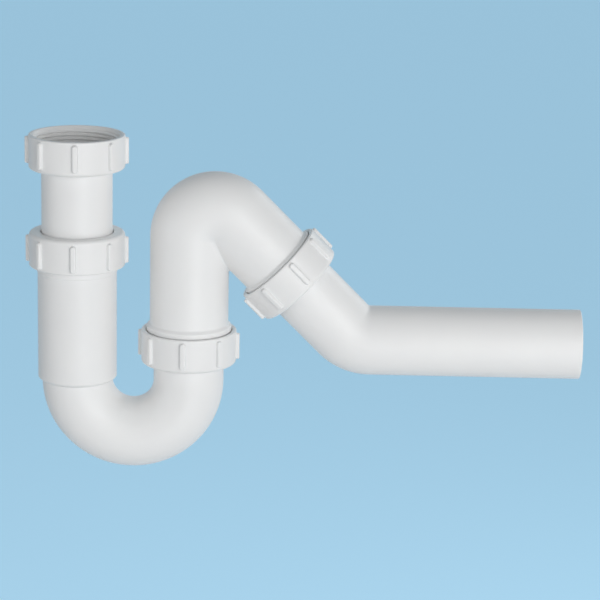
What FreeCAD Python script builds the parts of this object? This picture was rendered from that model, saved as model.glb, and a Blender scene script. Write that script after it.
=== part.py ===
import FreeCAD, Part
import math
import os

Vector = FreeCAD.Vector

# A plastic tubular trap, in millimetres. The origin is on the inlet's axis, where the thread of the
# inlet nut begins. +X runs towards the outlet, +Y to the back and +Z up.

# Tubes
tube_radius = 20.25
inlet_wall = 2.0
bend_wall = 2.2
outlet_undersize = 0.25
outlet_wall = 2.0
tube_end_chamfer = 0.5

# Fits
slide_clearance = 0.3
seal_clearance = 0.05
ring_clearance = 0.1
weld_clearance = 0.05
thread_clearance = 0.05
seat_gap = 0.1

# Threaded ends of the sleeve and the elbow
thread_wall = 3.35
thread_lead = 0.8
mouth_flare = 1.45
mouth_depth = 3.6
sleeve_thread = 10.0
elbow_thread = 11.2
flare_length = 4.4

# Slip nuts, all four alike
nut_height = 19.6
nut_wall = 3.45
nut_plate = 2.6
nut_hole_clearance = 0.65
nut_crown = 2.0
nut_rim = 0.5
nut_mouth_chamfer = 0.5
recess_step = 1.15
run_out = 0.55

# Grip ribs of a nut
rib_count = 8
rib_width = 3.2
rib_height = 2.0
rib_corner = 0.95
rib_edge = 0.7
rib_root = 0.5
rib_from_crown = 2.4
rib_from_rim = 1.2
inlet_rib_turn = 3.0
telescope_rib_turn = -0.5
elbow_rib_turn = -4.5
outlet_rib_turn = 19.0

# Pieces held inside the nuts
ring_thickness = 2.2
seal_flange = 3.3
seal_cone = 3.0
recess_clearance = 0.3
tube_flange = 2.7
washer_thickness = 2.8
washer_bore_clearance = 0.25

# Telescopic inlet
shown_tube = 36.6
inlet_tube_length = 84.7

# Body sleeve
sleeve_wall = 2.1
sleeve_length = 79.2
collar_length = 15.2
collar_step = 0.3
collar_fall = 0.35
skirt_chamfer = 1.8
skirt_lip = 0.3
skirt_reach = 0.6

# U-bend
leg_spacing = 64.25
weld_lap = 6.4
long_leg = 57.9

# Swivel elbow
elbow_wall = 2.05
elbow_nut_height = 10.8
elbow_drop = 66.4
elbow_bend_radius = 14.75
elbow_slope = 45.0
elbow_reach = 46.8

# Outlet pipe
outlet_insert = 26.8
outlet_lead = 52.2
outlet_inner_bend = 2.3
tail_length = 129.9

# Radii that follow from the tubes and their fits
outlet_radius = tube_radius - outlet_undersize
outlet_bend_radius = outlet_radius + outlet_inner_bend
socket_bore = tube_radius + slide_clearance
mouth_radius = socket_bore + mouth_flare
thread_radius = socket_bore + thread_wall
nut_bore = thread_radius + thread_clearance
nut_radius = nut_bore + nut_wall
nut_hole = tube_radius + nut_hole_clearance
recess_radius = nut_bore - recess_step
packing_radius = recess_radius - recess_clearance
sleeve_radius = socket_bore + sleeve_wall
elbow_radius = socket_bore + elbow_wall

# Heights on the inlet's axis, from the top down
seat_depth = nut_plate + ring_thickness + seal_flange
inlet_nut_foot = nut_mouth_chamfer - nut_height
telescope_nut_top = inlet_nut_foot - shown_tube
sleeve_top = telescope_nut_top - seat_depth
sleeve_foot = sleeve_top - sleeve_length
bend_level = sleeve_foot + skirt_reach
bend_radius = leg_spacing / 2

# Places along the elbow, whose second leg slopes down to the outlet
slope = math.radians(elbow_slope)
outlet_way = Vector(math.cos(slope), 0, -math.sin(slope))
outlet_rise = Vector(math.sin(slope), 0, math.cos(slope))
elbow_nut_foot = bend_level + elbow_nut_height
elbow_mouth = Vector(leg_spacing, 0, elbow_nut_foot + seat_depth)
elbow_centre = elbow_mouth + Vector(elbow_bend_radius, 0, elbow_drop)
elbow_turn_end = elbow_centre + outlet_rise * elbow_bend_radius
outlet_mouth = elbow_turn_end + outlet_way * elbow_reach
outlet_nut_face = outlet_mouth + outlet_way * seat_depth

up = Vector(0, 0, 1)
down = Vector(0, 0, -1)
back = Vector(0, 1, 0)


def placed(origin, direction):
    """The place whose own +Z points along a direction in the XZ plane, with +Y kept to the back."""
    side = back.cross(direction)
    rows = FreeCAD.Matrix(
        side.x, back.x, direction.x, origin.x,
        side.y, back.y, direction.y, origin.y,
        side.z, back.z, direction.z, origin.z)
    return FreeCAD.Placement(rows)


def moved(shape, place):
    """A copy of a shape, carried from its own axis to a place on the trap."""
    copy = shape.copy()
    copy.Placement = place
    return copy


def section_point(point):
    """A (radius, height) pair as a point of the section."""
    return Vector(point[0], 0, point[1])


def turned(start, *steps):
    """A solid of revolution about +Z. A step is the next point, or a rounded edge made by another
    function, which carries its own end point."""
    edges = []
    here = start
    for step in steps:
        if isinstance(step, tuple):
            there = step
            line = Part.LineSegment(section_point(here), section_point(there))
            edges.append(line.toShape())
        else:
            edges.append(step.toShape())
            there = (step.EndPoint.x, step.EndPoint.z)
        here = there
    closing = Part.LineSegment(section_point(here), section_point(start))
    edges.append(closing.toShape())
    face = Part.Face(Part.Wire(edges))
    return face.revolve(Vector(), up, 360)


def rounded(centre_radius, centre_height, radius, first_angle, last_angle):
    """A rounded edge of the section, from one angle to another about its centre."""
    def point(angle):
        turn = math.radians(angle)
        return Vector(centre_radius + radius * math.cos(turn), 0, centre_height + radius * math.sin(turn))
    return Part.Arc(point(first_angle), point((first_angle + last_angle) / 2), point(last_angle))


def disc(radius):
    """A round face about the origin, square to +Z."""
    return Part.Face(Part.Wire(Part.makeCircle(radius, Vector(), up)))


def tube_section(outer, wall):
    """The ring-shaped face that is a tube's section."""
    return disc(outer).cut(disc(outer - wall))


def nut_rib():
    """One grip rib with cut corners and an eased top, standing on the +X side of a nut."""
    half = rib_width / 2
    low = rib_from_crown
    high = nut_height - rib_from_rim
    foot = nut_radius - rib_root
    top = nut_radius + rib_height
    outline = [
        (-half, low + rib_corner),
        (rib_corner - half, low),
        (half - rib_corner, low),
        (half, low + rib_corner),
        (half, high - rib_corner),
        (half - rib_corner, high),
        (rib_corner - half, high),
        (-half, high - rib_corner)]
    corners = [Vector(foot, across, along) for across, along in outline]
    face = Part.Face(Part.makePolygon(corners + corners[:1]))
    rib = face.extrude(Vector(top - foot, 0, 0))
    top_edges = [edge for edge in rib.Edges if edge.BoundBox.XMin > top - rib_edge / 10]
    return rib.makeChamfer(rib_edge, top_edges)


def slip_nut(rib_turn):
    """A slip nut about +Z, with its closed end at the origin and its thread opening upwards."""
    barrel = turned(
        (nut_hole, 0),
        (nut_radius - nut_crown, 0),
        rounded(nut_radius - nut_crown, nut_crown, nut_crown, -90, 0),
        (nut_radius, nut_height - nut_rim),
        (nut_radius - nut_rim, nut_height),
        (nut_bore + nut_mouth_chamfer, nut_height),
        (nut_bore, nut_height - nut_mouth_chamfer),
        (nut_bore, seat_depth),
        (recess_radius, seat_depth - run_out),
        (recess_radius, nut_plate),
        (nut_hole, nut_plate))
    rib = nut_rib()
    ribs = []
    for number in range(rib_count):
        copy = rib.copy()
        copy.rotate(Vector(), up, rib_turn + number * 360 / rib_count)
        ribs.append(copy)
    return barrel.fuse(ribs).removeSplitter()


def slip_ring(held_radius):
    """The hard ring that lets a nut turn without dragging its seal round."""
    inner = held_radius + ring_clearance
    return turned(
        (inner, nut_plate),
        (packing_radius, nut_plate),
        (packing_radius, nut_plate + ring_thickness),
        (inner, nut_plate + ring_thickness))


def cone_seal(held_radius):
    """The rubber seal, a flange with a cone that the nut presses into the mouth of the socket."""
    inner = held_radius + seal_clearance
    cone_root = mouth_radius - seat_gap
    cone_tip = cone_root - mouth_flare * seal_cone / mouth_depth
    return turned(
        (inner, nut_plate + ring_thickness),
        (packing_radius, nut_plate + ring_thickness),
        (packing_radius, seat_depth),
        (cone_root, seat_depth),
        (cone_tip, seat_depth + seal_cone),
        (inner, seat_depth + seal_cone))


def inlet_washer():
    """The flat rubber washer on the tube's flange, which the basin waste presses on."""
    seat = nut_plate + tube_flange
    inner = tube_radius - inlet_wall + washer_bore_clearance
    return turned(
        (inner, seat),
        (packing_radius, seat),
        (packing_radius, seat + washer_thickness),
        (inner, seat + washer_thickness))


def inlet_tube():
    """The telescopic tube, with the flange at its top that the inlet nut pulls up."""
    flange_foot = inlet_nut_foot + nut_plate
    top = flange_foot + tube_flange
    foot = top - inlet_tube_length
    inner = tube_radius - inlet_wall
    return turned(
        (inner, foot),
        (tube_radius - tube_end_chamfer, foot),
        (tube_radius, foot + tube_end_chamfer),
        (tube_radius, flange_foot),
        (packing_radius, flange_foot),
        (packing_radius, top),
        (inner, top))


def swept_bend(section):
    """A section carried down, round the half turn of the U and up its long leg."""
    turn_centre = Vector(bend_radius, 0, bend_level)
    low_end = moved(section, placed(Vector(0, 0, bend_level), up))
    far_end = moved(section, placed(Vector(leg_spacing, 0, bend_level), up))
    short_run = low_end.extrude(up * weld_lap)
    half_turn = low_end.revolve(turn_centre, back, -180)
    long_run = far_end.extrude(up * long_leg)
    return short_run.fuse([half_turn, long_run]).removeSplitter()


def u_bend():
    """The water-holding bend, one tube that is welded into the sleeve at its short leg."""
    return swept_bend(tube_section(tube_radius, bend_wall))


def body_sleeve():
    """The sleeve that the inlet tube slides in, threaded at its top and closed on the bend below."""
    collar = sleeve_radius + collar_step
    thread_end = sleeve_top - sleeve_thread
    collar_end = sleeve_top - collar_length
    weld_bore = tube_radius + weld_clearance
    sleeve = turned(
        (mouth_radius, sleeve_top),
        (thread_radius - thread_lead, sleeve_top),
        (thread_radius, sleeve_top - thread_lead),
        (thread_radius, thread_end),
        (collar, thread_end),
        (collar, collar_end),
        (sleeve_radius, collar_end - collar_fall),
        (sleeve_radius, sleeve_foot + skirt_chamfer),
        (weld_bore + skirt_lip, sleeve_foot),
        (weld_bore, sleeve_foot),
        (weld_bore, bend_level + weld_lap),
        (socket_bore, bend_level + weld_lap),
        (socket_bore, sleeve_top - mouth_depth))
    return sleeve.cut(swept_bend(disc(weld_bore)))


def elbow_turn(radius):
    """The elbow's turn. Its inside is tighter than the tube is wide, so the two legs meet in a
    crease there and only the outer side of the section is carried round."""
    reach = 2 * radius + elbow_bend_radius
    level = elbow_centre.z
    section = moved(disc(radius), placed(Vector(leg_spacing, 0, level), up))
    corner = Vector(elbow_centre.x - 2 * reach, -reach, level - reach)
    outer_side = Part.makeBox(2 * reach, 2 * reach, 2 * reach, corner)
    return section.common(outer_side).revolve(elbow_centre, back, 90 + elbow_slope)


def elbow_leg(length):
    """The outside of one leg, with its mouth at the origin: thread, flare and plain tube."""
    flare_end = elbow_thread + flare_length
    return turned(
        (0, 0),
        (thread_radius - thread_lead, 0),
        (thread_radius, thread_lead),
        (thread_radius, elbow_thread),
        (elbow_radius, flare_end),
        (elbow_radius, length),
        (0, length))


def elbow_bore(length):
    """The space inside one leg, widened at the mouth for the seal."""
    return turned(
        (0, 0),
        (mouth_radius, 0),
        (socket_bore, mouth_depth),
        (socket_bore, length),
        (0, length))


def both_legs(leg):
    """Something that both legs of the elbow have, at the low mouth and at the outlet mouth."""
    low = moved(leg(elbow_drop), placed(elbow_mouth, up))
    high = moved(leg(elbow_reach), placed(outlet_mouth, outlet_way * -1))
    return low, high


def swivel_elbow():
    """The elbow that swivels on the long leg, with a threaded socket at each end."""
    outside = elbow_turn(elbow_radius).fuse(both_legs(elbow_leg))
    inside = elbow_turn(socket_bore).fuse(both_legs(elbow_bore))
    return outside.cut(inside).removeSplitter()


def outlet_pipe():
    """The pipe that leaves the elbow down its slope, turns level and ends in a plain tail."""
    section = tube_section(outlet_radius, outlet_wall)
    corner = outlet_mouth + outlet_way * outlet_lead
    trim = outlet_bend_radius * math.tan(slope / 2)
    turn_start = corner - outlet_way * trim
    turn_centre = turn_start + outlet_rise * outlet_bend_radius
    tail_start = corner + Vector(trim, 0, 0)
    slope_start = outlet_mouth - outlet_way * outlet_insert
    sloping = moved(section, placed(slope_start, outlet_way))
    sloping_end = moved(section, placed(turn_start, outlet_way))
    level_start = moved(section, placed(tail_start, Vector(1, 0, 0)))
    slope_run = sloping.extrude(turn_start - slope_start)
    turn = sloping_end.revolve(turn_centre, back, -elbow_slope)
    tail = level_start.extrude(Vector(tail_length - trim, 0, 0))
    pipe = slope_run.fuse([turn, tail]).removeSplitter()
    tail_end = corner.x + tail_length
    rims = []
    for edge in pipe.Edges:
        at_tail = edge.BoundBox.XMin > tail_end - tube_end_chamfer
        if at_tail and edge.BoundBox.ZLength > 2 * outlet_radius - outlet_wall:
            rims.append(edge)
    return pipe.makeChamfer(tube_end_chamfer, rims)


inlet_nut_place = placed(Vector(0, 0, inlet_nut_foot), up)
telescope_nut_place = placed(Vector(0, 0, telescope_nut_top), down)
elbow_nut_place = placed(Vector(leg_spacing, 0, elbow_nut_foot), up)
outlet_nut_place = placed(outlet_nut_face, outlet_way * -1)

parts = {
    "inlet_nut": moved(slip_nut(inlet_rib_turn), inlet_nut_place),
    "inlet_washer": moved(inlet_washer(), inlet_nut_place),
    "inlet_tube": inlet_tube(),
    "body_sleeve": body_sleeve(),
    "u_bend": u_bend(),
    "swivel_elbow": swivel_elbow(),
    "outlet_pipe": outlet_pipe(),
}

# Each sliding joint has a nut, a slip ring and a cone seal on the tube that it holds
sliding_joints = [
    ("telescope", telescope_nut_place, tube_radius, telescope_rib_turn),
    ("elbow", elbow_nut_place, tube_radius, elbow_rib_turn),
    ("outlet", outlet_nut_place, outlet_radius, outlet_rib_turn),
]
for joint, place, held_radius, rib_turn in sliding_joints:
    parts[joint + "_nut"] = moved(slip_nut(rib_turn), place)
    parts[joint + "_ring"] = moved(slip_ring(held_radius), place)
    parts[joint + "_seal"] = moved(cone_seal(held_radius), place)

os.makedirs("parts", exist_ok=True)
for node, shape in parts.items():
    shape.exportStep("parts/" + node + ".step")
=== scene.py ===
from math import atan2, cos, pi, radians, sin, tan, tau

import bmesh
import bpy
from mathutils import Matrix, Vector


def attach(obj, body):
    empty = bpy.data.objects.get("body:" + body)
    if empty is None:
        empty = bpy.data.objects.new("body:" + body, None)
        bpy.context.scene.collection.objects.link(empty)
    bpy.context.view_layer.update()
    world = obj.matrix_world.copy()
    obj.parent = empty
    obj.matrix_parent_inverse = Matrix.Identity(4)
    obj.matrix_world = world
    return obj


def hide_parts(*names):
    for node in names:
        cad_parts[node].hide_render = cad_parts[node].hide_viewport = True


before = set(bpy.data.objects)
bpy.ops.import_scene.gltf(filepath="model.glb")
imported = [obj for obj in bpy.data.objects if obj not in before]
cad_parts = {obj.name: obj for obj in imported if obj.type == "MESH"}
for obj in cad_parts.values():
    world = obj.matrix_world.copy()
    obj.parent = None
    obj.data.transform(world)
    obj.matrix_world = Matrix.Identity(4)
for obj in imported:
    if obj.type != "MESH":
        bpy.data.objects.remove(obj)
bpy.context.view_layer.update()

mm = 0.001

# Sizes that several pieces share, in millimetres. Every nut and every threaded end is drawn in its
# nut's own frame: the nut's closed face is at 0 and its thread opens towards +Z.
trap = {
    "tubeRadius": 20.25,
    "outletRadius": 20.0,
    "socketBore": 20.55,
    "mouthRadius": 22.0,
    "mouthDepth": 3.6,
    "mouthEdge": 0.15,
    "seat": 8.1,            # the closed face of a nut to the mouth of its socket
    "packingRadius": 22.5,
    "legSpacing": 64.25,
    "inletNutFace": -19.1,
    "telescopeNutFace": -55.7,
    "bendLevel": -142.4,
    "elbowNutFace": -131.6,
    "seam": 0.05,           # the plain band between a thread or belt and the shape next to it
    "aroundSteps": 128,
    "bendStep": 2.5,        # degrees from one ring of a bent tube to the next
}
smoothing = {
    "mergeDistance": 0.0005,
    "sharpAngle": 38,
    "wideRounding": 0.5,    # a rounding above this gets more steps
    "wideSteps": 8,
    "smallSteps": 4,
    "threadSteps": 2,
}
thread = {
    "pitch": 2.309,
    "crest": 0.5,
    "flank": 0.55,
    "edge": 0.12,
    "femaleRoot": 23.95,
    "femaleCrest": 22.85,
    "maleRoot": 22.8,
    "maleCrest": 23.9,
    "lead": 1.0,            # how fast a thread rises out of its wall at its ends
    "crestTurns": 8,        # turns from a nut's face to a crest, half a turn more on its mouth
}

down = (0.0, -1.0)
up = (0.0, 1.0)
slopeDown = (cos(pi / 4), -sin(pi / 4))
slopeUp = (-slopeDown[0], -slopeDown[1])


# Frames, spun profiles and pieces

def placeAt(x, z, along):    # own +Z along a direction in the XZ plane, own +Y to the back
    axis = Vector((along[0], 0, along[1]))
    back = Vector((0, 1, 0))
    turn = Matrix((back.cross(axis), back, axis)).transposed().to_4x4()
    return Matrix.Translation((x * mm, 0, z * mm)) @ turn


def addShape(target, shape, place=Matrix()):    # moves one bmesh into another
    bmesh.ops.transform(shape, matrix=place, verts=shape.verts)
    scrap = bpy.data.meshes.new("scrap")
    shape.to_mesh(scrap)
    shape.free()
    target.from_mesh(scrap)
    bpy.data.meshes.remove(scrap)


def spunShape(corners, closed=False):    # corners are (radius, height, rounding)
    bm = bmesh.new()
    chain = [bm.verts.new((radius * mm, 0, height * mm)) for radius, height, rounding in corners]
    for one, other in zip(chain, chain[1:]):
        bm.edges.new((one, other))
    if closed:
        bm.edges.new((chain[-1], chain[0]))
    roundings = [corner[2] for corner in corners]
    for rounding in sorted(set(roundings) - {0}):
        rounded = [vert for vert, size in zip(chain, roundings) if size == rounding]
        steps = smoothing["wideSteps" if rounding > smoothing["wideRounding"] else "smallSteps"]
        bmesh.ops.bevel(bm, geom=rounded, offset=rounding * mm, affect="VERTICES",
                        segments=steps, profile=0.5, material=-1)
    bmesh.ops.spin(bm, geom=bm.verts[:] + bm.edges[:], cent=(0, 0, 0), axis=(0, 0, 1), angle=tau,
                   steps=trap["aroundSteps"], use_merge=True)
    return bm


def cornersIn(items):
    return [item for item in items if isinstance(item, bmesh.types.BMVert)]


def edgesIn(items):
    return [item for item in items if isinstance(item, bmesh.types.BMEdge)]


def threadShape(root, crest, low, high, crestAt):    # a right-hand thread that fades at both ends
    pitch, flank, half = thread["pitch"], thread["flank"], thread["crest"] / 2
    # over a turn below the low end, where the thread is cut off again
    start = crestAt - pitch / 2 - pitch * (2 + int((crestAt - low) / pitch))
    middle = start + pitch / 2
    corners = [(root, start), (root, middle - half - flank), (crest, middle - half),
               (crest, middle + half), (root, middle + half + flank), (root, start + pitch)]
    bm = bmesh.new()
    chain = [bm.verts.new((radius * mm, 0, height * mm)) for radius, height in corners]
    for one, other in zip(chain, chain[1:]):
        bm.edges.new((one, other))
    bmesh.ops.bevel(bm, geom=chain[1:-1], offset=thread["edge"] * mm, affect="VERTICES",
                    segments=smoothing["threadSteps"], profile=0.5, material=-1)
    bmesh.ops.spin(bm, geom=bm.verts[:] + bm.edges[:], cent=(0, 0, 0), axis=(0, 0, 1), angle=tau,
                   dvec=(0, 0, pitch / trap["aroundSteps"] * mm), steps=trap["aroundSteps"])
    oneTurn = bm.verts[:] + bm.edges[:] + bm.faces[:]
    for turn in range(1, 1 + int((high - start) / pitch)):
        copy = bmesh.ops.duplicate(bm, geom=oneTurn)["geom"]
        bmesh.ops.translate(bm, verts=cornersIn(copy), vec=(0, 0, pitch * turn * mm))
    outward = 1 if crest > root else -1
    for vert in bm.verts:
        radius = vert.co.xy.length / mm
        height = min(max(vert.co.z / mm, low), high)
        rise = min(abs(radius - root), thread["lead"] * min(height - low, high - height))
        vert.co.xy = vert.co.xy.normalized() * (root + outward * rise) * mm
        vert.co.z = height * mm
    bmesh.ops.remove_doubles(bm, verts=bm.verts, dist=smoothing["mergeDistance"] * mm)
    return bm


def growLoop(bm, loop, place):    # extrudes a loop of edges, place() says where each corner goes
    grown = bmesh.ops.extrude_edge_only(bm, edges=loop)["geom"]
    corners = cornersIn(grown)
    for vert in corners:
        vert.co = place(vert)
    found = set(corners)
    return [edge for edge in edgesIn(grown) if found.issuperset(edge.verts)]


def makePiece(name, bm, material, body):    # stands for the CAD node of the same name
    bmesh.ops.remove_doubles(bm, verts=bm.verts, dist=smoothing["mergeDistance"] * mm)
    bmesh.ops.recalc_face_normals(bm, faces=bm.faces)
    gaps = sum(not edge.is_manifold for edge in bm.edges)
    mesh = bpy.data.meshes.new(name + "Look")
    bm.to_mesh(mesh)
    bm.free()
    mesh.shade_smooth()
    mesh.set_sharp_from_angle(angle=radians(smoothing["sharpAngle"]))
    mesh.materials.append(material)
    piece = bpy.data.objects.new(name + "Look", mesh)
    bpy.context.scene.collection.objects.link(piece)
    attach(piece, body)
    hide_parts(name)
    print(name, "faces", len(mesh.polygons), "open edges", gaps)


# Materials

skin = {
    "scatter": (1.0, 0.95, 0.9),    # how far red, green and blue spread, as shares of the depth
    "shadeDetail": 4,
    "fineDetail": 3,
    "glossScale": 6,        # patches of gloss are this much smaller than patches of shade
    "grainScale": 1800,
    "grainHeight": 0.03,
    "cloudRange": (0.3, 0.7),
}


def newMaterial(name):
    material = bpy.data.materials.new(name)
    material.use_nodes = True
    return material, material.node_tree.nodes, material.node_tree.links


def plastic(name, look):    # moulded plastic with faint mottling, uneven gloss and a fine skin
    material, nodes, links = newMaterial(name)
    shader = nodes["Principled BSDF"]
    shader.inputs["IOR"].default_value = look["ior"]
    shader.inputs["Subsurface Weight"].default_value = look["subsurface"]
    shader.inputs["Subsurface Radius"].default_value = skin["scatter"]
    shader.inputs["Subsurface Scale"].default_value = look["depth"] * mm
    place = nodes.new("ShaderNodeTexCoord")

    def cloud(scale, detail):
        noise = nodes.new("ShaderNodeTexNoise")
        noise.inputs["Scale"].default_value = scale
        noise.inputs["Detail"].default_value = detail
        links.new(place.outputs["Object"], noise.inputs["Vector"])
        return noise.outputs["Fac"]

    def ranged(value, low, high):
        spread = nodes.new("ShaderNodeMapRange")
        spread.inputs["From Min"].default_value = skin["cloudRange"][0]
        spread.inputs["From Max"].default_value = skin["cloudRange"][1]
        spread.inputs["To Min"].default_value = low
        spread.inputs["To Max"].default_value = high
        links.new(value, spread.inputs["Value"])
        return spread.outputs["Result"]

    tint = nodes.new("ShaderNodeMix")
    tint.data_type = "RGBA"
    tint.inputs["A"].default_value = (*look["shade"], 1)
    tint.inputs["B"].default_value = (*look["colour"], 1)
    shading = ranged(cloud(look["mottle"], skin["shadeDetail"]), 0, 1)
    links.new(shading, tint.inputs["Factor"])
    links.new(tint.outputs["Result"], shader.inputs["Base Color"])
    gloss = cloud(look["mottle"] * skin["glossScale"], skin["fineDetail"])
    links.new(ranged(gloss, look["gloss"][0], look["gloss"][1]), shader.inputs["Roughness"])
    grain = nodes.new("ShaderNodeBump")
    grain.inputs["Strength"].default_value = look["grain"]
    grain.inputs["Distance"].default_value = skin["grainHeight"] * mm
    links.new(cloud(skin["grainScale"], skin["fineDetail"]), grain.inputs["Height"])
    links.new(grain.outputs["Normal"], shader.inputs["Normal"])
    return material


tubePlastic = plastic("Moulded tube plastic", {
    "colour": (0.86, 0.86, 0.855),
    "shade": (0.84, 0.84, 0.838),
    "gloss": (0.36, 0.46),
    "ior": 1.46,
    "subsurface": 0.1,
    "depth": 1.5,
    "mottle": 35,
    "grain": 0.25,
})
nutPlastic = plastic("Nut plastic", {
    "colour": (0.85, 0.85, 0.845),
    "shade": (0.83, 0.83, 0.827),
    "gloss": (0.34, 0.44),
    "ior": 1.46,
    "subsurface": 0.1,
    "depth": 1.5,
    "mottle": 45,
    "grain": 0.3,
})
ringPlastic = plastic("Natural ring plastic", {
    "colour": (0.78, 0.77, 0.72),
    "shade": (0.73, 0.72, 0.67),
    "gloss": (0.3, 0.4),
    "ior": 1.5,
    "subsurface": 0.3,
    "depth": 3,
    "mottle": 60,
    "grain": 0.1,
})
rubber = plastic("Seal rubber", {
    "colour": (0.022, 0.022, 0.023),
    "shade": (0.014, 0.014, 0.015),
    "gloss": (0.55, 0.75),
    "ior": 1.5,
    "subsurface": 0,
    "depth": 0,
    "mottle": 80,
    "grain": 0.5,
})
print("materials made")


# Slip nuts

nut = {
    "height": 19.6,
    "radius": 27.4,
    "hole": 20.9,
    "plate": 2.6,
    "recess": 22.8,
    "runOut": 0.55,
    "crown": 2.0,
    "rim": 0.8,
    "mouthRadius": 25.3,    # a smooth lead-in before the thread
    "leadIn": 2.0,
    "leadInFoot": 0.4,
    "mouthEdge": 0.35,
    "holeEdge": 0.35,
    "softEdge": 0.2,
}
rib = {
    "count": 8,
    "halfWidth": 1.6,
    "height": 2.0,
    "fromCrown": 2.55,
    "fromRim": 1.35,
    "root": 0.45,           # hollow curve where a rib meets the barrel
    "draft": 0.15,
    "topRound": 0.7,
    "topInset": 0.1,
    "rootSteps": 4,
    "topSteps": 5,
    "endCorners": 17,       # corners round each end of a rib
    "spread": 6,            # rows from a rib out to the middle of the gap between ribs
}
beltLow = nut["crown"] + trap["seam"]
beltHigh = nut["height"] - nut["rim"] - trap["seam"]


def ribbedBelt():    # the straight part of the barrel with its ribs, laid flat and then bent round
    low = rib["fromCrown"] + rib["halfWidth"]
    high = nut["height"] - rib["fromRim"] - rib["halfWidth"]
    middle, reach = (low + high) / 2, (high - low) / 2
    outer = rib["halfWidth"] + rib["root"]
    gap = pi * nut["radius"] / rib["count"]
    halfStep = pi / (2 * rib["endCorners"])
    bm = bmesh.new()
    turnOf = bm.verts.layers.float.new("turn")    # how far round the rib's end a corner lies
    bmesh.ops.create_circle(bm, radius=outer * mm, segments=2 * rib["endCorners"])
    for vert in bm.verts:
        vert[turnOf] = atan2(abs(vert.co.y), vert.co.x)
        vert.co.y += (reach if vert.co.y > 0 else -reach) * mm
    ribRing = bm.edges[:]

    def offsetTo(radius, height):
        def place(vert):
            side = 1 if vert.co.y > 0 else -1
            turn = vert[turnOf]
            return Vector((radius * cos(turn), side * (reach + radius * sin(turn)), height)) * mm
        return place

    def outwards(share):
        def place(vert):
            side = 1 if vert.co.y > 0 else -1
            turn = vert[turnOf]
            ringPoint = Vector((outer * cos(turn), side * (reach + outer * sin(turn)), 0))
            across = (pi / 2 - turn) / (pi / 2 - halfStep)
            edge = (beltHigh if side > 0 else beltLow) - middle
            return ringPoint.lerp(Vector((across * gap, edge, 0)), share) * mm
        return place

    loop = ribRing
    for row in range(1, rib["spread"] + 1):
        loop = growLoop(bm, loop, outwards(row / rib["spread"]))
    loop = ribRing
    for step in range(1, rib["rootSteps"] + 1):
        turn = radians(90 * step / rib["rootSteps"])
        loop = growLoop(bm, loop, offsetTo(outer - rib["root"] * sin(turn),
                                           rib["root"] - rib["root"] * cos(turn)))
    topHalf = rib["halfWidth"] - rib["draft"] - rib["topRound"]
    shoulder = rib["height"] - rib["topRound"]
    for step in range(rib["topSteps"] + 1):
        turn = radians(90 * step / rib["topSteps"])
        loop = growLoop(bm, loop, offsetTo(topHalf + rib["topRound"] * cos(turn),
                                           shoulder + rib["topRound"] * sin(turn)))
    loop = growLoop(bm, loop, offsetTo(topHalf - rib["topInset"], rib["height"]))
    bmesh.ops.contextual_create(bm, geom=loop)
    bm.verts.layers.float.remove(turnOf)

    first = bm.verts[:] + bm.edges[:] + bm.faces[:]
    for number in range(1, rib["count"]):
        copy = bmesh.ops.duplicate(bm, geom=first)["geom"]
        bmesh.ops.translate(bm, verts=cornersIn(copy), vec=(2 * gap * number * mm, 0, 0))
    for vert in bm.verts:
        angle = vert.co.x / (nut["radius"] * mm)
        radius = nut["radius"] * mm + vert.co.z
        vert.co = (radius * cos(angle), radius * sin(angle), vert.co.y + middle * mm)
    return bm


def slipNut(name, place, ribTurn, body):
    radius, height, bore = nut["radius"], nut["height"], thread["femaleRoot"]
    threadLow, threadHigh = trap["seat"] + trap["seam"], height - nut["leadIn"]
    bm = bmesh.new()
    addShape(bm, ribbedBelt())
    addShape(bm, spunShape([
        (radius, beltHigh, 0),
        (radius, height, nut["rim"]),
        (nut["mouthRadius"], height, nut["mouthEdge"]),
        (bore, threadHigh + nut["leadInFoot"], nut["mouthEdge"]),
        (bore, threadHigh, 0)]))
    # the nut turns with its ribs, so its thread starts that much earlier
    crestAt = thread["pitch"] * (thread["crestTurns"] - ribTurn / 360)
    addShape(bm, threadShape(bore, thread["femaleCrest"], threadLow, threadHigh, crestAt))
    addShape(bm, spunShape([
        (bore, threadLow, 0),
        (bore, trap["seat"], 0),
        (nut["recess"], trap["seat"] - nut["runOut"], 0),
        (nut["recess"], nut["plate"], nut["softEdge"]),
        (nut["hole"], nut["plate"], nut["softEdge"]),
        (nut["hole"], 0, nut["holeEdge"]),
        (radius, 0, nut["crown"]),
        (radius, beltLow, 0)]))
    turned = place @ Matrix.Rotation(radians(ribTurn), 4, "Z")
    bmesh.ops.transform(bm, matrix=turned, verts=bm.verts)
    makePiece(name, bm, nutPlastic, body)


# The elbow's places, and the four nuts

elbow = {
    "radius": 22.6,
    "bendRadius": 14.75,
    "drop": 66.4,
    "reach": 46.8,
    "turn": 135.0,
    "crease": 0.8,          # the smallest radius at the inside of the turn
    "innerCrease": 0.5,
    "rows": 48,
    "thread": 11.2,
    "collarRadius": 24.4,
    "lowerCollar": (2.8, 1.6),    # the straight part of a thicker end, and its fall to the tube
    "outletCollar": (1.1, 1.1),
    "collarEdge": 0.6,
    "collarLand": 0.3,      # what stays straight between the collar's two roundings
    "groove": 0.55,
    "flareFoot": 0.6,
    "lip": 0.3,
    "boreLead": 0.5,
}
outlet = {
    "wall": 2.0,
    "insert": 26.8,
    "lead": 52.2,
    "bendRadius": 22.3,
    "tail": 129.9,
    "endEdge": 0.5,
}

elbowLevel = trap["elbowNutFace"] + trap["seat"] + elbow["drop"]
elbowCentre = Vector((trap["legSpacing"] + elbow["bendRadius"], elbowLevel))
outletWay = Vector(slopeDown)
outletRise = Vector((slopeDown[0], -slopeDown[1]))
turnEnd = elbowCentre + outletRise * elbow["bendRadius"]
outletMouth = turnEnd + outletWay * elbow["reach"]
outletNutFace = outletMouth + outletWay * trap["seat"]

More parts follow.
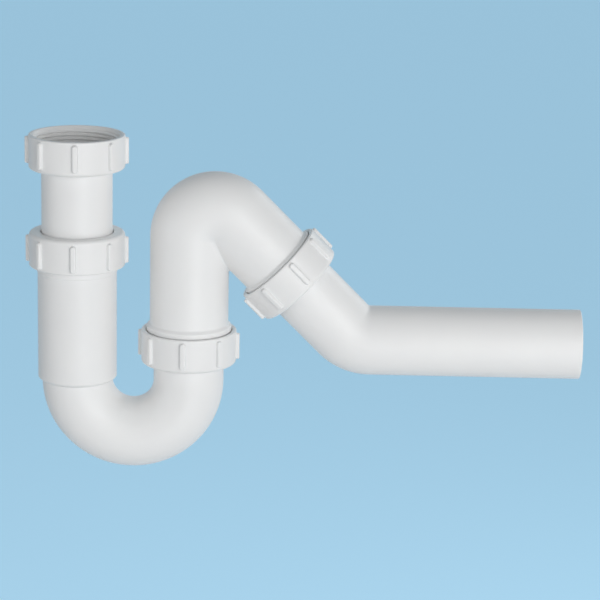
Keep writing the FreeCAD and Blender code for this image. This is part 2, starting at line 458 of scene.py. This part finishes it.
inletPlace = placeAt(0, trap["inletNutFace"], up)
telescopePlace = placeAt(0, trap["telescopeNutFace"], down)
elbowPlace = placeAt(trap["legSpacing"], trap["elbowNutFace"], up)
outletPlace = placeAt(outletNutFace.x, outletNutFace.y, slopeUp)

slipNut("inlet_nut", inletPlace, 3, "inlet_nut")
slipNut("telescope_nut", telescopePlace, -0.5, "telescope_nut")
slipNut("elbow_nut", elbowPlace, -4.5, "elbow_nut")
slipNut("outlet_nut", outletPlace, 19, "outlet_nut")
print("nuts made")


# What the nuts hold

packing = {
    "ring": 2.2,
    "cone": 3.0,
    "ringClearance": 0.1,
    "sealClearance": 0.05,
    "seatGap": 0.1,
    "edge": 0.2,
    "coneEdge": 0.12,
    "layerGap": 0.03,       # between the ring and the seal that lies on it
}
ringTop = nut["plate"] + packing["ring"]
sealFoot = ringTop + packing["layerGap"]
sealTop = trap["seat"] + packing["cone"]
coneRoot = trap["mouthRadius"] - packing["seatGap"]
coneFall = (trap["mouthRadius"] - trap["socketBore"]) * packing["cone"] / trap["mouthDepth"]
for joint, place, held in (("telescope", telescopePlace, trap["tubeRadius"]),
                           ("elbow", elbowPlace, trap["tubeRadius"]),
                           ("outlet", outletPlace, trap["outletRadius"])):
    inner = held + packing["ringClearance"]
    ring = bmesh.new()
    addShape(ring, spunShape([
        (inner, nut["plate"], packing["edge"]),
        (trap["packingRadius"], nut["plate"], packing["edge"]),
        (trap["packingRadius"], ringTop, packing["edge"]),
        (inner, ringTop, packing["edge"])], closed=True), place)
    makePiece(joint + "_ring", ring, ringPlastic, joint + "_ring")
    inner = held + packing["sealClearance"]
    seal = bmesh.new()
    addShape(seal, spunShape([
        (inner, sealFoot, packing["edge"]),
        (trap["packingRadius"], sealFoot, packing["edge"]),
        (trap["packingRadius"], trap["seat"], packing["edge"]),
        (coneRoot, trap["seat"], 0),
        (coneRoot - coneFall, sealTop, packing["coneEdge"]),
        (inner, sealTop, packing["coneEdge"])], closed=True), place)
    makePiece(joint + "_seal", seal, rubber, joint + "_seal")
print("rings and seals made")


# The telescopic inlet

inlet = {
    "bore": 18.25,
    "flange": 2.7,
    "length": 84.7,
    "washer": 2.8,
    "washerBore": 18.5,
    "washerEdge": 0.3,
    "boreEdge": 0.3,
    "flangeEdge": 0.2,
    "footEdge": 0.5,
    "footBoreEdge": 0.2,
}
flangeFoot = nut["plate"]
flangeTop = flangeFoot + inlet["flange"]
tube = bmesh.new()
addShape(tube, spunShape([
    (inlet["bore"], flangeTop - inlet["length"], inlet["footBoreEdge"]),
    (trap["tubeRadius"], flangeTop - inlet["length"], inlet["footEdge"]),
    (trap["tubeRadius"], flangeFoot, 0),
    (trap["packingRadius"], flangeFoot, inlet["flangeEdge"]),
    (trap["packingRadius"], flangeTop, inlet["flangeEdge"]),
    (inlet["bore"], flangeTop, inlet["boreEdge"])], closed=True), inletPlace)
makePiece("inlet_tube", tube, tubePlastic, "inlet_tube")

washer = bmesh.new()
washerTop = flangeTop + inlet["washer"]
addShape(washer, spunShape([
    (inlet["washerBore"], flangeTop, inlet["washerEdge"]),
    (trap["packingRadius"], flangeTop, inlet["washerEdge"]),
    (trap["packingRadius"], washerTop, inlet["washerEdge"]),
    (inlet["washerBore"], washerTop, inlet["washerEdge"])], closed=True), inletPlace)
makePiece("inlet_washer", washer, rubber, "inlet_tube")


# The body sleeve, drawn in the telescope nut's frame

sleeve = {
    "radius": 22.65,
    "length": 79.2,
    "thread": 10.0,
    "collar": 15.2,
    "collarRadius": 22.95,
    "collarFall": 0.35,
    "weldBore": 20.3,
    "weldLap": 6.4,
    "skirt": 1.8,
    "skirtLip": 0.3,
    "stepEdge": 0.06,
    "collarEdge": 0.15,
    "skirtEdge": 0.5,
    "footEdge": 0.12,
}


def threadedMouth(bm, place, threadEnd):    # a male thread between the mouth and what follows it
    low, high = trap["seat"] + trap["seam"], threadEnd - trap["seam"]
    crestAt = thread["pitch"] * (thread["crestTurns"] + 0.5)
    addShape(bm, threadShape(thread["maleRoot"], thread["maleCrest"], low, high, crestAt), place)
    return low, high


sleeveBody = bmesh.new()
mouth = trap["seat"]
threadEnd = mouth + sleeve["thread"]
collarEnd = mouth + sleeve["collar"]
foot = mouth + sleeve["length"]
weldTop = trap["telescopeNutFace"] - trap["bendLevel"] - sleeve["weldLap"]
low, high = threadedMouth(sleeveBody, telescopePlace, threadEnd)
addShape(sleeveBody, spunShape([
    (thread["maleRoot"], high, 0),
    (thread["maleRoot"], threadEnd, 0),
    (sleeve["collarRadius"], threadEnd, sleeve["stepEdge"]),
    (sleeve["collarRadius"], collarEnd, sleeve["collarEdge"]),
    (sleeve["radius"], collarEnd + sleeve["collarFall"], sleeve["collarEdge"]),
    (sleeve["radius"], foot - sleeve["skirt"], sleeve["skirtEdge"]),
    (sleeve["weldBore"] + sleeve["skirtLip"], foot, sleeve["footEdge"]),
    (sleeve["weldBore"], foot, 0),
    (sleeve["weldBore"], weldTop, 0),
    (trap["socketBore"], weldTop, 0),
    (trap["socketBore"], mouth + trap["mouthDepth"], 0),
    (trap["mouthRadius"], mouth, trap["mouthEdge"]),
    (thread["maleRoot"], mouth, 0),
    (thread["maleRoot"], low, 0)]), telescopePlace)
makePiece("body_sleeve", sleeveBody, tubePlastic, "trap_body")


# Swept tubes: the water-holding bend and the outlet pipe

bend = {
    "wall": 2.2,
    "longLeg": 57.9,
    "endEdge": 0.35,
}


def sweptTube(radius, wall, start, heading, moves, endEdge):
    # moves are (length,) for a straight run or (bend radius, angle) for a turn to the left
    lip = 2 * endEdge    # the length that a rounded end takes, which is spun on last
    bm = bmesh.new()
    for size in (radius, radius - wall):
        bmesh.ops.create_circle(bm, radius=size * mm, segments=trap["aroundSteps"],
                                matrix=Matrix.Translation((0, 0, lip * mm)))
    bmesh.ops.transform(bm, matrix=placeAt(start.x, start.y, heading), verts=bm.verts)
    last = bm.edges[:]
    spot, way = Vector(start), Vector(heading)
    for number, move in enumerate(moves):
        if len(move) == 1:
            run = move[0] - lip * (number == 0) - lip * (number == len(moves) - 1)
            step = Vector((way.x, 0, way.y)) * run * mm
            last = growLoop(bm, last, lambda vert: vert.co + step)
            spot = spot + way * move[0]
        else:
            bendRadius, angle = move
            centre = spot + Vector((-way.y, way.x)) * bendRadius
            corners = list({vert for edge in last for vert in edge.verts})
            result = bmesh.ops.spin(bm, geom=corners + last, cent=(centre.x * mm, 0, centre.y * mm),
                                    axis=(0, -1, 0), angle=radians(angle),
                                    steps=int(angle / trap["bendStep"]))
            last = edgesIn(result["geom_last"])
            turn = Matrix.Rotation(radians(angle), 2)
            spot = centre + turn @ (spot - centre)
            way = turn @ way
    for end, inwards in ((start, heading), (spot, -way)):
        addShape(bm, spunShape([
            (radius, lip, 0),
            (radius, 0, endEdge),
            (radius - wall, 0, endEdge),
            (radius - wall, lip, 0)]), placeAt(end.x, end.y, inwards))
    return bm


bendRadius = trap["legSpacing"] / 2
legTop = Vector((0, trap["bendLevel"] + sleeve["weldLap"]))
uBend = sweptTube(trap["tubeRadius"], bend["wall"], legTop, Vector(down),
                  [(sleeve["weldLap"],), (bendRadius, 180), (bend["longLeg"],)], bend["endEdge"])
makePiece("u_bend", uBend, tubePlastic, "trap_body")

trim = outlet["bendRadius"] * tan(pi / 8)
pipeStart = outletMouth - outletWay * outlet["insert"]
pipeMoves = [(outlet["insert"] + outlet["lead"] - trim,),
             (outlet["bendRadius"], 45), (outlet["tail"] - trim,)]
pipe = sweptTube(trap["outletRadius"], outlet["wall"], pipeStart, outletWay, pipeMoves,
                 outlet["endEdge"])
makePiece("outlet_pipe", pipe, tubePlastic, "outlet_pipe")
print("tubes made")


# The swivel elbow

def turnPoint(across, y, angle, crease):
    # a lengthwise line of the elbow turns about the bend's centre, or, where it lies inside that,
    # about a centre of its own that leaves a crease between the two legs
    half = radians(elbow["turn"] / 2)
    offset = elbow["bendRadius"] + across
    centre = elbowCentre
    if offset < crease:
        back = (crease - offset) / cos(half)
        centre = elbowCentre - Vector((-cos(half), sin(half))) * back
    reach = max(offset, crease)
    point = centre + Vector((-cos(angle), sin(angle))) * reach
    return Vector((point.x * mm, y, point.y * mm))


def elbowShell(radius, crease, legEnd):
    # a straight tube of rows, each bent to its place on the elbow; legEnd is in the nuts' frames
    rows = elbow["rows"]
    bm = bmesh.new()
    bmesh.ops.create_circle(bm, radius=radius * mm, segments=trap["aroundSteps"])
    loop = bm.edges[:]
    for row in range(rows + 2):
        loop = growLoop(bm, loop, lambda vert: vert.co + Vector((0, 0, 1)))
    lowEnd = Vector((trap["legSpacing"], trap["elbowNutFace"] + legEnd))
    highEnd = outletNutFace - outletWay * legEnd
    for vert in bm.verts:
        across, y, row = vert.co.x / mm, vert.co.y, round(vert.co.z) - 1
        if row < 0:
            vert.co = ((lowEnd.x - across) * mm, y, lowEnd.y * mm)
        elif row > rows:
            point = highEnd + outletRise * across
            vert.co = (point.x * mm, y, point.y * mm)
        else:
            vert.co = turnPoint(across, y, radians(elbow["turn"]) * row / rows, crease)
    return bm


elbowBody = bmesh.new()
flareStart = trap["seat"] + elbow["thread"]
flareEnd = flareStart + sum(elbow["lowerCollar"]) + elbow["flareFoot"]
boreStart = trap["seat"] + trap["mouthDepth"] + elbow["boreLead"]
for place, collar in ((elbowPlace, "lowerCollar"), (outletPlace, "outletCollar")):
    low, high = threadedMouth(elbowBody, place, flareStart)
    straight, fall = elbow[collar]
    collarTop = flareStart + straight
    collarEdge = min(elbow["collarEdge"], straight - elbow["lip"] - elbow["collarLand"])
    addShape(elbowBody, spunShape([
        (thread["maleRoot"], high, 0),
        (thread["maleRoot"], flareStart, 0),
        (elbow["collarRadius"], flareStart, elbow["lip"]),
        (elbow["collarRadius"], collarTop, collarEdge),
        (elbow["radius"], collarTop + fall, elbow["groove"]),
        (elbow["radius"], flareEnd, 0)]), place)
    addShape(elbowBody, spunShape([
        (trap["socketBore"], boreStart, 0),
        (trap["socketBore"], trap["seat"] + trap["mouthDepth"], 0),
        (trap["mouthRadius"], trap["seat"], trap["mouthEdge"]),
        (thread["maleRoot"], trap["seat"], 0),
        (thread["maleRoot"], low, 0)]), place)
addShape(elbowBody, elbowShell(elbow["radius"], elbow["crease"], flareEnd))
addShape(elbowBody, elbowShell(trap["socketBore"], elbow["innerCrease"], boreStart))
makePiece("swivel_elbow", elbowBody, tubePlastic, "swivel_elbow")
print("elbow made")


# Floor, light and camera

studio = {
    "floorLevel": -0.9,
    "floorSize": 24,
    "floorRoughness": 0.9,
    "floorShine": 0.1,
    "floorColour": (0.50, 0.74, 0.90),
    "floorGlow": (0.20, 0.36, 0.48),    # where it is seen directly, so that the floor looks pale
    "floorGrey": (0.6, 0.6, 0.6),
    "skyColour": (0.34, 0.56, 0.70),    # the world where it is seen directly
    "ambient": 0.228,
}


def seenDirectly(nodes, links):    # 1 for camera, mirror and glass rays, 0 for light that bounces
    path = nodes.new("ShaderNodeLightPath")
    total = path.outputs["Is Camera Ray"]
    for ray in ("Is Glossy Ray", "Is Transmission Ray"):
        add = nodes.new("ShaderNodeMath")
        add.operation = "ADD"
        add.use_clamp = True
        links.new(total, add.inputs[0])
        links.new(path.outputs[ray], add.inputs[1])
        total = add.outputs[0]
    return total


def paleColour(nodes, links, seen, bounced):    # one colour to look at, another to light with
    mix = nodes.new("ShaderNodeMix")
    mix.data_type = "RGBA"
    mix.inputs["A"].default_value = (*bounced, 1)
    mix.inputs["B"].default_value = (*seen, 1)
    links.new(seenDirectly(nodes, links), mix.inputs["Factor"])
    return mix.outputs["Result"]


floorMaterial, nodes, links = newMaterial("Pale floor")
shader = nodes["Principled BSDF"]
shader.inputs["Roughness"].default_value = studio["floorRoughness"]
shader.inputs["Specular IOR Level"].default_value = studio["floorShine"]
shader.inputs["Emission Color"].default_value = (*studio["floorGlow"], 1)
floorPaint = paleColour(nodes, links, studio["floorColour"], studio["floorGrey"])
links.new(floorPaint, shader.inputs["Base Color"])
links.new(seenDirectly(nodes, links), shader.inputs["Emission Strength"])
floorShape = bmesh.new()
bmesh.ops.create_grid(floorShape, x_segments=2, y_segments=2, size=studio["floorSize"] / 2,
                      matrix=Matrix.Translation((0, 0, studio["floorLevel"])))
floorMesh = bpy.data.meshes.new("floor")
floorShape.to_mesh(floorMesh)
floorShape.free()
floorMesh.materials.append(floorMaterial)
floor = bpy.data.objects.new("floor", floorMesh)
bpy.context.scene.collection.objects.link(floor)

world = bpy.data.worlds.new("Studio")
world.use_nodes = True
bpy.context.scene.world = world
nodes, links = world.node_tree.nodes, world.node_tree.links
skyPaint = paleColour(nodes, links, studio["skyColour"], [studio["ambient"]] * 3)
links.new(skyPaint, nodes["Background"].inputs["Color"])

lamps = {
    "key": {"at": (1.1, -1.7, 0.3), "size": 1.2, "power": 15.2},
    "low": {"at": (0.6, -1.6, -0.5), "size": 0.9, "power": 5.2},
    "fill": {"at": (-0.9, -1.7, 0.2), "size": 1.2, "power": 3.8},
    "left": {"at": (-1.7, -0.9, 0.1), "size": 1.2, "power": 5.2},
    "right": {"at": (1.9, -0.5, 0.0), "size": 1.2, "power": 4.0},
    "rim": {"at": (1.4, 1.2, 0.5), "size": 1.2, "power": 6.6},
    "top": {"at": (0.2, -0.3, 1.8), "size": 1.4, "power": 1.4},
    "back": {"at": (0.1, 1.1, 0.0), "size": 0.7, "power": 4.5, "gloss": False},
}
target = Vector((0.14, 0, -0.1))
for name, lamp in lamps.items():
    light = bpy.data.lights.new(name, "AREA")
    light.shape = "DISK"
    light.size = lamp["size"]
    light.energy = lamp["power"]
    holder = bpy.data.objects.new(name, light)
    holder.location = lamp["at"]
    holder.visible_glossy = lamp.get("gloss", True)    # no bright edges in front from the back lamp
    holder.rotation_euler = (Vector(lamp["at"]) - target).to_track_quat("Z", "Y").to_euler()
    bpy.context.scene.collection.objects.link(holder)

view = {
    "at": (0.12783, -1.3385, 0.2599),
    "tilt": 75.2,
    "roll": 0.0209,
    "lens": 144.7,
    "sensor": 36,
}
cameraData = bpy.data.cameras.new("camera")
cameraData.lens = view["lens"]
cameraData.sensor_width = view["sensor"]
camera = bpy.data.objects.new("camera", cameraData)
camera.matrix_world = (Matrix.Translation(view["at"])
                       @ Matrix.Rotation(radians(view["tilt"]), 4, "X")
                       @ Matrix.Rotation(view["roll"], 4, "Z"))
bpy.context.scene.collection.objects.link(camera)
bpy.context.scene.camera = camera
bpy.context.scene.view_settings.view_transform = "Standard"
print("studio made")
